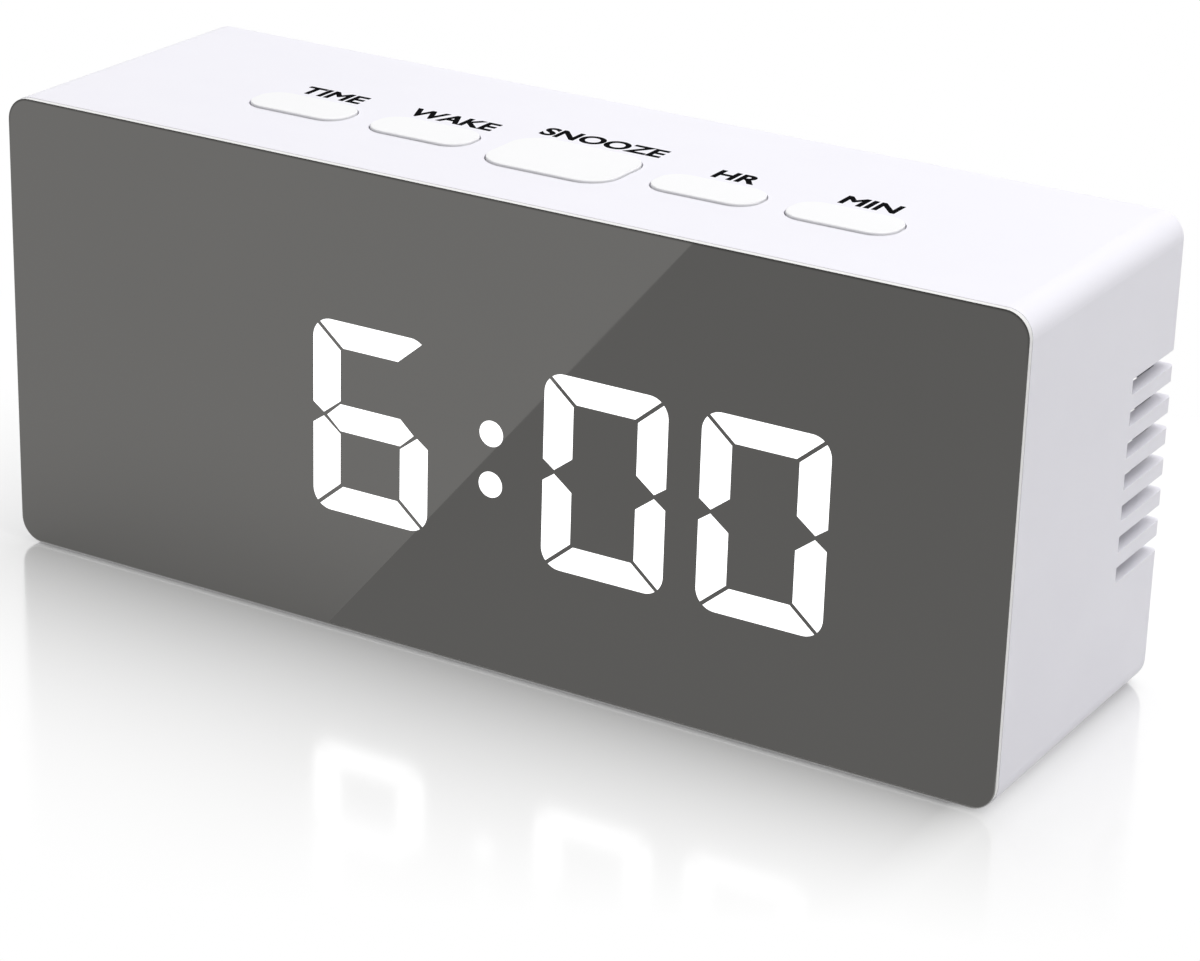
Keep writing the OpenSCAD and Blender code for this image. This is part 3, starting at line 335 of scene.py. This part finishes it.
# Finishes
def moulded(name, colour, roughness, grain, depth):
    """Moulded plastic with a fine skin, faint clouds of tone and uneven gloss."""
    made, tree, shader, place = new_material(name)
    clouds = noise(tree, place, PLASTIC_CLOUD)
    patches = noise(tree, place, PLASTIC_PATCH)
    set_inputs(tree, shader,
               Base_Color=blend_colours(tree, clouds, faded(colour, PLASTIC_FADE), colour),
               Roughness=spread(tree, patches, roughness - PLASTIC_SWING, roughness + PLASTIC_SWING),
               Normal=bump(tree, noise(tree, place, grain), depth))
    return made


def metal(name, colour, roughness, grain):
    """Plated or drawn metal with fine uneven gloss."""
    made, tree, shader, place = new_material(name)
    clouds = noise(tree, place, METAL_CLOUD)
    fine = noise(tree, place, grain)
    set_inputs(tree, shader,
               Metallic=1.0,
               Base_Color=blend_colours(tree, clouds, faded(colour, METAL_FADE), colour),
               Roughness=spread(tree, fine, roughness - METAL_SWING, roughness + METAL_SWING),
               Normal=bump(tree, fine, METAL_DEPTH))
    return made


def painted_edge_line(tree, from_core, width, height, start, end):
    """Share of a painted line inside the mirror's outline, from 0 at the start height to 1 at the end
    height; it draws both the painted reflection along the top and the painted highlight along the foot.
    """
    line = map_range(tree, from_core, MIRROR_CORNER - width, MIRROR_CORNER)
    return maths(tree, "MULTIPLY", line, map_range(tree, height, start, end))


def smoked_mirror(name, low, high):
    """Dark half mirror with faint wiping marks and pale edges, with a painted reflection as a dark line
    along its top and a painted highlight as a pale line at its foot.
    """
    made, tree, shader, place = new_material(name)
    core = (high - low) / 2 - Vector((MIRROR_CORNER, 0, MIRROR_CORNER))
    from_core = distance_outside(tree, place, (low + high) / 2, core)
    along = split(tree, place)
    # Painted reflection: a dark line inside the upper edge, fading in towards the top
    painted_reflection_line = painted_edge_line(tree, from_core, MIRROR_REFLECTION_WIDTH, along["Z"], high.z - MIRROR_TURN, high.z)
    # Painted highlight: a pale, uncoated-looking line inside the lower edge, fading in towards the foot
    bare_end_and_painted_highlight = painted_edge_line(tree, from_core, MIRROR_HIGHLIGHT_WIDTH, along["Z"], low.z + MIRROR_TURN, low.z)
    edge = maths(tree, "GREATER_THAN", along["Y"], low.y + MIRROR_FACE)
    # Clear covers the plate's pale side faces and the painted highlight line at its foot
    clear = maths(tree, "MAXIMUM", edge, bare_end_and_painted_highlight)
    tone = blend_colours(tree, noise(tree, place, MIRROR_CLOUD), *MIRROR_TONES)
    face = blend_colours(tree, painted_reflection_line, tone, MIRROR_PAINTED_REFLECTION)
    stretched = tree_node(tree, "Mapping", {"Vector": place, "Rotation": WIPE_TURN, "Scale": WIPE_STRETCH})
    wiping = noise(tree, stretched.outputs["Vector"], WIPE_SIZE)
    set_inputs(tree, shader,
               Base_Color=blend_colours(tree, clear, face, MIRROR_CLEAR),
               Metallic=maths(tree, "SUBTRACT", 1.0, clear),
               Roughness=spread(tree, wiping, *MIRROR_ROUGHNESS))
    return made


def lit_film(name):
    """White light through a diffuser, a little uneven."""
    made, tree, shader, place = new_material(name)
    set_inputs(tree, shader,
               Base_Color=FILM_TONE,
               Roughness=FILM_ROUGHNESS,
               Emission_Color=WHITE,
               Emission_Strength=spread(tree, noise(tree, place, FILM_PATCH), *FILM_LIGHT))
    return made


def circuit_board(name):
    """Green solder mask with paler tracks under it."""
    made, tree, shader, place = new_material(name)
    pattern = {"Vector": place, "Scale": 1 / BOARD_TRACK, "Mortar Size": BOARD_GAP}
    tracks = tree_node(tree, "TexBrick", pattern).outputs["Fac"]
    set_inputs(tree, shader,
               Base_Color=blend_colours(tree, tracks, *BOARD_GREENS),
               Roughness=spread(tree, noise(tree, place, BOARD_PATCH), *BOARD_ROUGHNESS),
               Normal=bump(tree, tracks, BOARD_RELIEF))
    return made


def cell_can(cell):
    """Printed can of a cell with bare metal at both ends and a band at the plus end."""
    made, tree, shader, place = new_material(cell + "_can")
    low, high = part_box(cell)
    reach = (high.x - low.x) / 2
    from_middle = maths(tree, "SUBTRACT", split(tree, place)["X"], (low.x + high.x) / 2)
    bare_end_and_painted_highlight = maths(tree, "GREATER_THAN", maths(tree, "ABSOLUTE", from_middle), reach - CELL_BARE)
    to_plus = maths(tree, "MULTIPLY", from_middle, CELL_PLUS[cell])
    band = maths(tree, "GREATER_THAN", to_plus, reach * CELL_BAND)
    wear = noise(tree, place, CELL_PATCH)
    wrap = blend_colours(tree, band, blend_colours(tree, wear, *CELL_GREENS), CELL_GREY)
    set_inputs(tree, shader,
               Base_Color=blend_colours(tree, bare_end_and_painted_highlight, wrap, CELL_METAL),
               Metallic=bare_end_and_painted_highlight,
               Roughness=spread(tree, wear, *CELL_ROUGHNESS))
    return made


def printed_ink(name):
    """Black pad-printed ink, a little uneven."""
    made, tree, shader, place = new_material(name)
    speckle = noise(tree, place, INK_SPECKLE)
    set_inputs(tree, shader,
               Base_Color=blend_colours(tree, speckle, *INK_TONES),
               Roughness=spread(tree, speckle, *INK_ROUGHNESS),
               Specular_IOR_Level=0.0)
    return made


def dress_nodes():
    """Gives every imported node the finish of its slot, and each cell a finish of its own."""
    finishes = {slot: moulded(slot, *values) for slot, values in PLASTICS.items()}
    finishes |= {slot: metal(slot, *values) for slot, values in METALS.items()}
    finishes["smoked_mirror"] = smoked_mirror("smoked_mirror", *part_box("mirror_panel"))
    finishes["circuit_board"] = circuit_board("circuit_board")
    for part in frame["record"]["subparts"]:
        node, slot = part["node"], part["material_slot"]
        made = cell_can(node) if node in CELL_PLUS else finishes[slot]
        nodes[node].data.materials.clear()
        nodes[node].data.materials.append(made)


# Pieces
def mesh_object(name, shape, material):
    """Turns a bmesh into an object with one material."""
    mesh = bpy.data.meshes.new(name)
    shape.to_mesh(mesh)
    shape.free()
    mesh.materials.append(material)
    made = bpy.data.objects.new(name, mesh)
    bpy.context.scene.collection.objects.link(made)
    return made


def new_piece(name, shape, material, body):
    """Turns a bmesh into a piece with the given finish that rides on a body."""
    piece = mesh_object(name, shape, material)
    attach(piece, body)


def stage_piece(name, shape, material):
    """Turns a bmesh into a piece of the studio."""
    piece = mesh_object(name, shape, material)
    return piece


def front_islands(mesh):
    """Lists of triangles, as vertex places, of each separate face that looks to -Y."""
    made = bmesh.new()
    made.from_mesh(mesh)
    bmesh.ops.delete(made, geom=[f for f in made.faces if f.normal.y > FRONT_NORMAL], context="FACES")
    bmesh.ops.remove_doubles(made, verts=made.verts, dist=WELD)
    seen = set()
    islands = []
    for first in made.faces:
        island = []
        waiting = [first]
        while waiting:
            face = waiting.pop()
            if face in seen:
                continue
            seen.add(face)
            island.append([v.co.copy() for v in face.verts])
            waiting += [f for e in face.edges for f in e.link_faces]
        if island:
            islands.append(island)
    made.free()
    return islands


def middle_of(values):
    """Middle of the range of some numbers."""
    found = list(values)
    return (min(found) + max(found)) / 2


def lit_segments():
    """The segments and dots of the time shown, each as a list of triangles."""
    low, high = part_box("segment_diffusers")
    centre = (low + high) / 2
    digits = [pair * PAIR_PITCH / 2 + digit * DIGIT_PITCH / 2 for pair in (-1, 1) for digit in (-1, 1)]
    for island in front_islands(nodes["segment_diffusers"].data):
        points = [p for triangle in island for p in triangle]
        across = middle_of(p.x for p in points) - centre.x
        up = middle_of(p.z for p in points) - centre.z
        if abs(across) < COLON_REACH:
            yield island
            continue
        nearest = min(range(len(digits)), key=lambda i: abs(digits[i] - across))
        offset = across - digits[nearest]
        place = tuple(0 if abs(v) < SEGMENT_REACH else int(math.copysign(1, v)) for v in (offset, up))
        shown = TIME_SHOWN[nearest]
        if shown != " " and place not in UNLIT[shown]:
            yield island


def display_film():
    """Thin lit shapes on the mirror's face, one solid for each lit segment."""
    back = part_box("mirror_panel")[0].y + FILM_SUNK
    made = bmesh.new()
    for island in lit_segments():
        for triangle in island:
            made.faces.new([made.verts.new((p.x, back, p.z)) for p in triangle])
    bmesh.ops.remove_doubles(made, verts=made.verts, dist=WELD)
    bmesh.ops.recalc_face_normals(made, faces=made.faces)
    grown = bmesh.ops.extrude_face_region(made, geom=made.faces[:])
    fronts = [v for v in grown["geom"] if isinstance(v, bmesh.types.BMVert)]
    bmesh.ops.translate(made, verts=fronts, vec=(0, -FILM_SUNK - FILM_PROUD, 0))
    bmesh.ops.recalc_face_normals(made, faces=made.faces)
    new_piece("lit_digits", made, lit_film("lit_digits"), "case")


def print_label(button, words, ink):
    """Prints words on the top wall, centred behind a button."""
    low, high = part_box("cap_" + button)
    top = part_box("housing")[1].z
    text = bpy.data.curves.new("label_" + button, "FONT")
    text.body = words
    text.size = LABEL_HEIGHT / CAPITAL_SHARE
    text.align_x = "CENTER"
    text.bevel_depth = LABEL_BOLD
    text.bevel_resolution = LABEL_STEPS
    carrier = bpy.data.objects.new("label_carrier", text)
    bpy.context.scene.collection.objects.link(carrier)
    bpy.context.view_layer.update()
    shape = bmesh.new()
    shape.from_mesh(carrier.to_mesh())
    carrier.to_mesh_clear()
    bpy.data.objects.remove(carrier)
    flatter = (LABEL_THICK + LABEL_SUNK) / (2 * LABEL_BOLD)
    shift = ((low.x + high.x) / 2, high.y + LABEL_GAP, top + (LABEL_THICK - LABEL_SUNK) / 2)
    bmesh.ops.scale(shape, verts=shape.verts, vec=(1, 1, flatter))
    bmesh.ops.translate(shape, verts=shape.verts, vec=shift)
    new_piece("label_" + button, shape, ink, "case")


# Studio
def any_direct_ray(tree):
    """1 for what the camera sees directly or in metal and glass, and 0 for light on matt surfaces."""
    path = tree_node(tree, "LightPath").outputs
    mirrored = maths(tree, "MAXIMUM", path["Is Glossy Ray"], path["Is Transmission Ray"])
    return maths(tree, "MAXIMUM", path["Is Camera Ray"], mirrored)


def painted_white_share(tree, place, away):
    """Share of painted white over the floor's shadow and reflection, which grows with the distance from the
    clock, with painted light near the front end of the right side.
    """
    along = split(tree, place)
    right_by = map_range(tree, along["Y"], cad_low.y, cad_high.y, WHITE_BY_FRONT, WHITE_BY_REAR)
    white_by = map_range(tree, along["X"], 0.0, cad_high.x, WHITE_BY_LEFT, right_by)
    # Painted light: white that lifts the shadow where the front end of the right side meets the floor
    beside = map_range(tree, along["X"], cad_high.x - CONTACT_TURN, cad_high.x)
    contact = map_range(tree, along["Y"], cad_low.y, cad_high.y, CONTACT_PAINTED_LIGHT, 0.0)
    start = maths(tree, "MULTIPLY", beside, contact)
    part_way = map_range(tree, away, 0.0, white_by, start)
    return maths(tree, "POWER", part_way, WHITE_CURVE)


def add_floor():
    """Pale glossy floor, white where no shadow or reflection falls, with painted white over its shadow and
    reflection that grows with the distance from the clock.
    """
    shape = bmesh.new()
    bmesh.ops.create_grid(shape, x_segments=1, y_segments=1, size=FLOOR_SIZE / 2)
    made, tree = empty_material("floor")
    direct = any_direct_ray(tree)
    place = tree_node(tree, "TexCoord").outputs["Object"]
    away = distance_outside(tree, place, (0, 0, 0), (cad_high.x, cad_high.y, 0))
    tone = map_range(tree, direct, 0.0, 1.0, FLOOR_BOUNCE, FLOOR_TONE)
    matt = tree_node(tree, "BsdfDiffuse", {"Color": tone})
    glow = tree_node(tree, "Emission", {"Strength": maths(tree, "MULTIPLY", direct, FLOOR_LIFT)})
    lifted = tree_node(tree, "AddShader", {0: matt.outputs[0], 1: glow.outputs[0]})
    gloss = tree_node(tree, "BsdfGlossy", {"Roughness": FLOOR_ROUGHNESS})
    fade = map_range(tree, away, 0.0, GLOSS_FADE, FLOOR_GLOSS, 0.0)
    near = blend_shaders(tree, maths(tree, "MULTIPLY", fade, direct), lifted, gloss)
    # Painted white laid over the floor's shadow and reflection, growing with the distance from the clock
    far = maths(tree, "MULTIPLY", painted_white_share(tree, place, away), direct)
    mixed = blend_shaders(tree, far, near, tree_node(tree, "Emission"))
    tree_node(tree, "OutputMaterial", {"Surface": mixed.outputs[0]})
    stage_piece("floor", shape, made)


def add_card():
    """Grey card in front of the clock, whose upper face shows in reflections and nowhere else."""
    shape = bmesh.new()
    shape.faces.new([shape.verts.new((x, y, CARD_LIFT)) for x, y in CARD_CORNERS])
    made, tree = empty_material("card")
    tone = tree_node(tree, "Emission", {"Strength": CARD_TONE})
    clear = tree_node(tree, "BsdfTransparent")
    below = tree_node(tree, "NewGeometry").outputs["Backfacing"]
    mixed = blend_shaders(tree, below, tone, clear)
    tree_node(tree, "OutputMaterial", {"Surface": mixed.outputs[0]})
    card = stage_piece("card", shape, made)
    card.visible_camera = False
    card.visible_diffuse = False
    card.visible_transmission = False
    card.visible_shadow = False


def add_sky():
    """White surroundings that light the object softly."""
    world = bpy.data.worlds.new("sky")
    world.use_nodes = True
    bpy.context.scene.world = world
    tree = world.node_tree
    tree.nodes.clear()
    strength = map_range(tree, any_direct_ray(tree), 0.0, 1.0, SKY_LIGHT, 1.0)
    sky = tree_node(tree, "Background", {"Color": WHITE, "Strength": strength})
    tree_node(tree, "OutputWorld", {"Surface": sky.outputs[0]})


def add_softbox(name, place, target, size, power):
    """Rectangular soft light that looks at the target."""
    light = bpy.data.lights.new(name, "AREA")
    light.shape = "RECTANGLE"
    light.size, light.size_y = size
    light.energy = power
    lamp = bpy.data.objects.new(name, light)
    bpy.context.scene.collection.objects.link(lamp)
    lamp.location = place
    lamp.rotation_euler = (Vector(target) - Vector(place)).to_track_quat("-Z", "Y").to_euler()
    lamp.visible_camera = False
    lamp.visible_glossy = False


def add_camera():
    """Camera of the photograph."""
    data = bpy.data.cameras.new("camera")
    data.sensor_fit = "HORIZONTAL"
    data.sensor_width = SENSOR_WIDTH
    data.lens = CAMERA_LENS
    data.clip_start = CAMERA_NEAR
    camera = bpy.data.objects.new("camera", data)
    bpy.context.scene.collection.objects.link(camera)
    camera.location = CAMERA_AT
    camera.rotation_mode = "QUATERNION"
    roll = Quaternion((0, 0, 1), math.radians(CAMERA_ROLL))
    camera.rotation_quaternion = (CAMERA_TARGET - CAMERA_AT).to_track_quat("-Z", "Y") @ roll
    bpy.context.scene.camera = camera


add_camera()
dress_nodes()
display_film()
ink = printed_ink("label_ink")
for button, words in LABELS.items():
    print_label(button, words, ink)
add_floor()
add_card()
add_sky()
for name, settings in SOFTBOXES.items():
    add_softbox(name, *settings)
bpy.context.scene.view_settings.view_transform = "Standard"
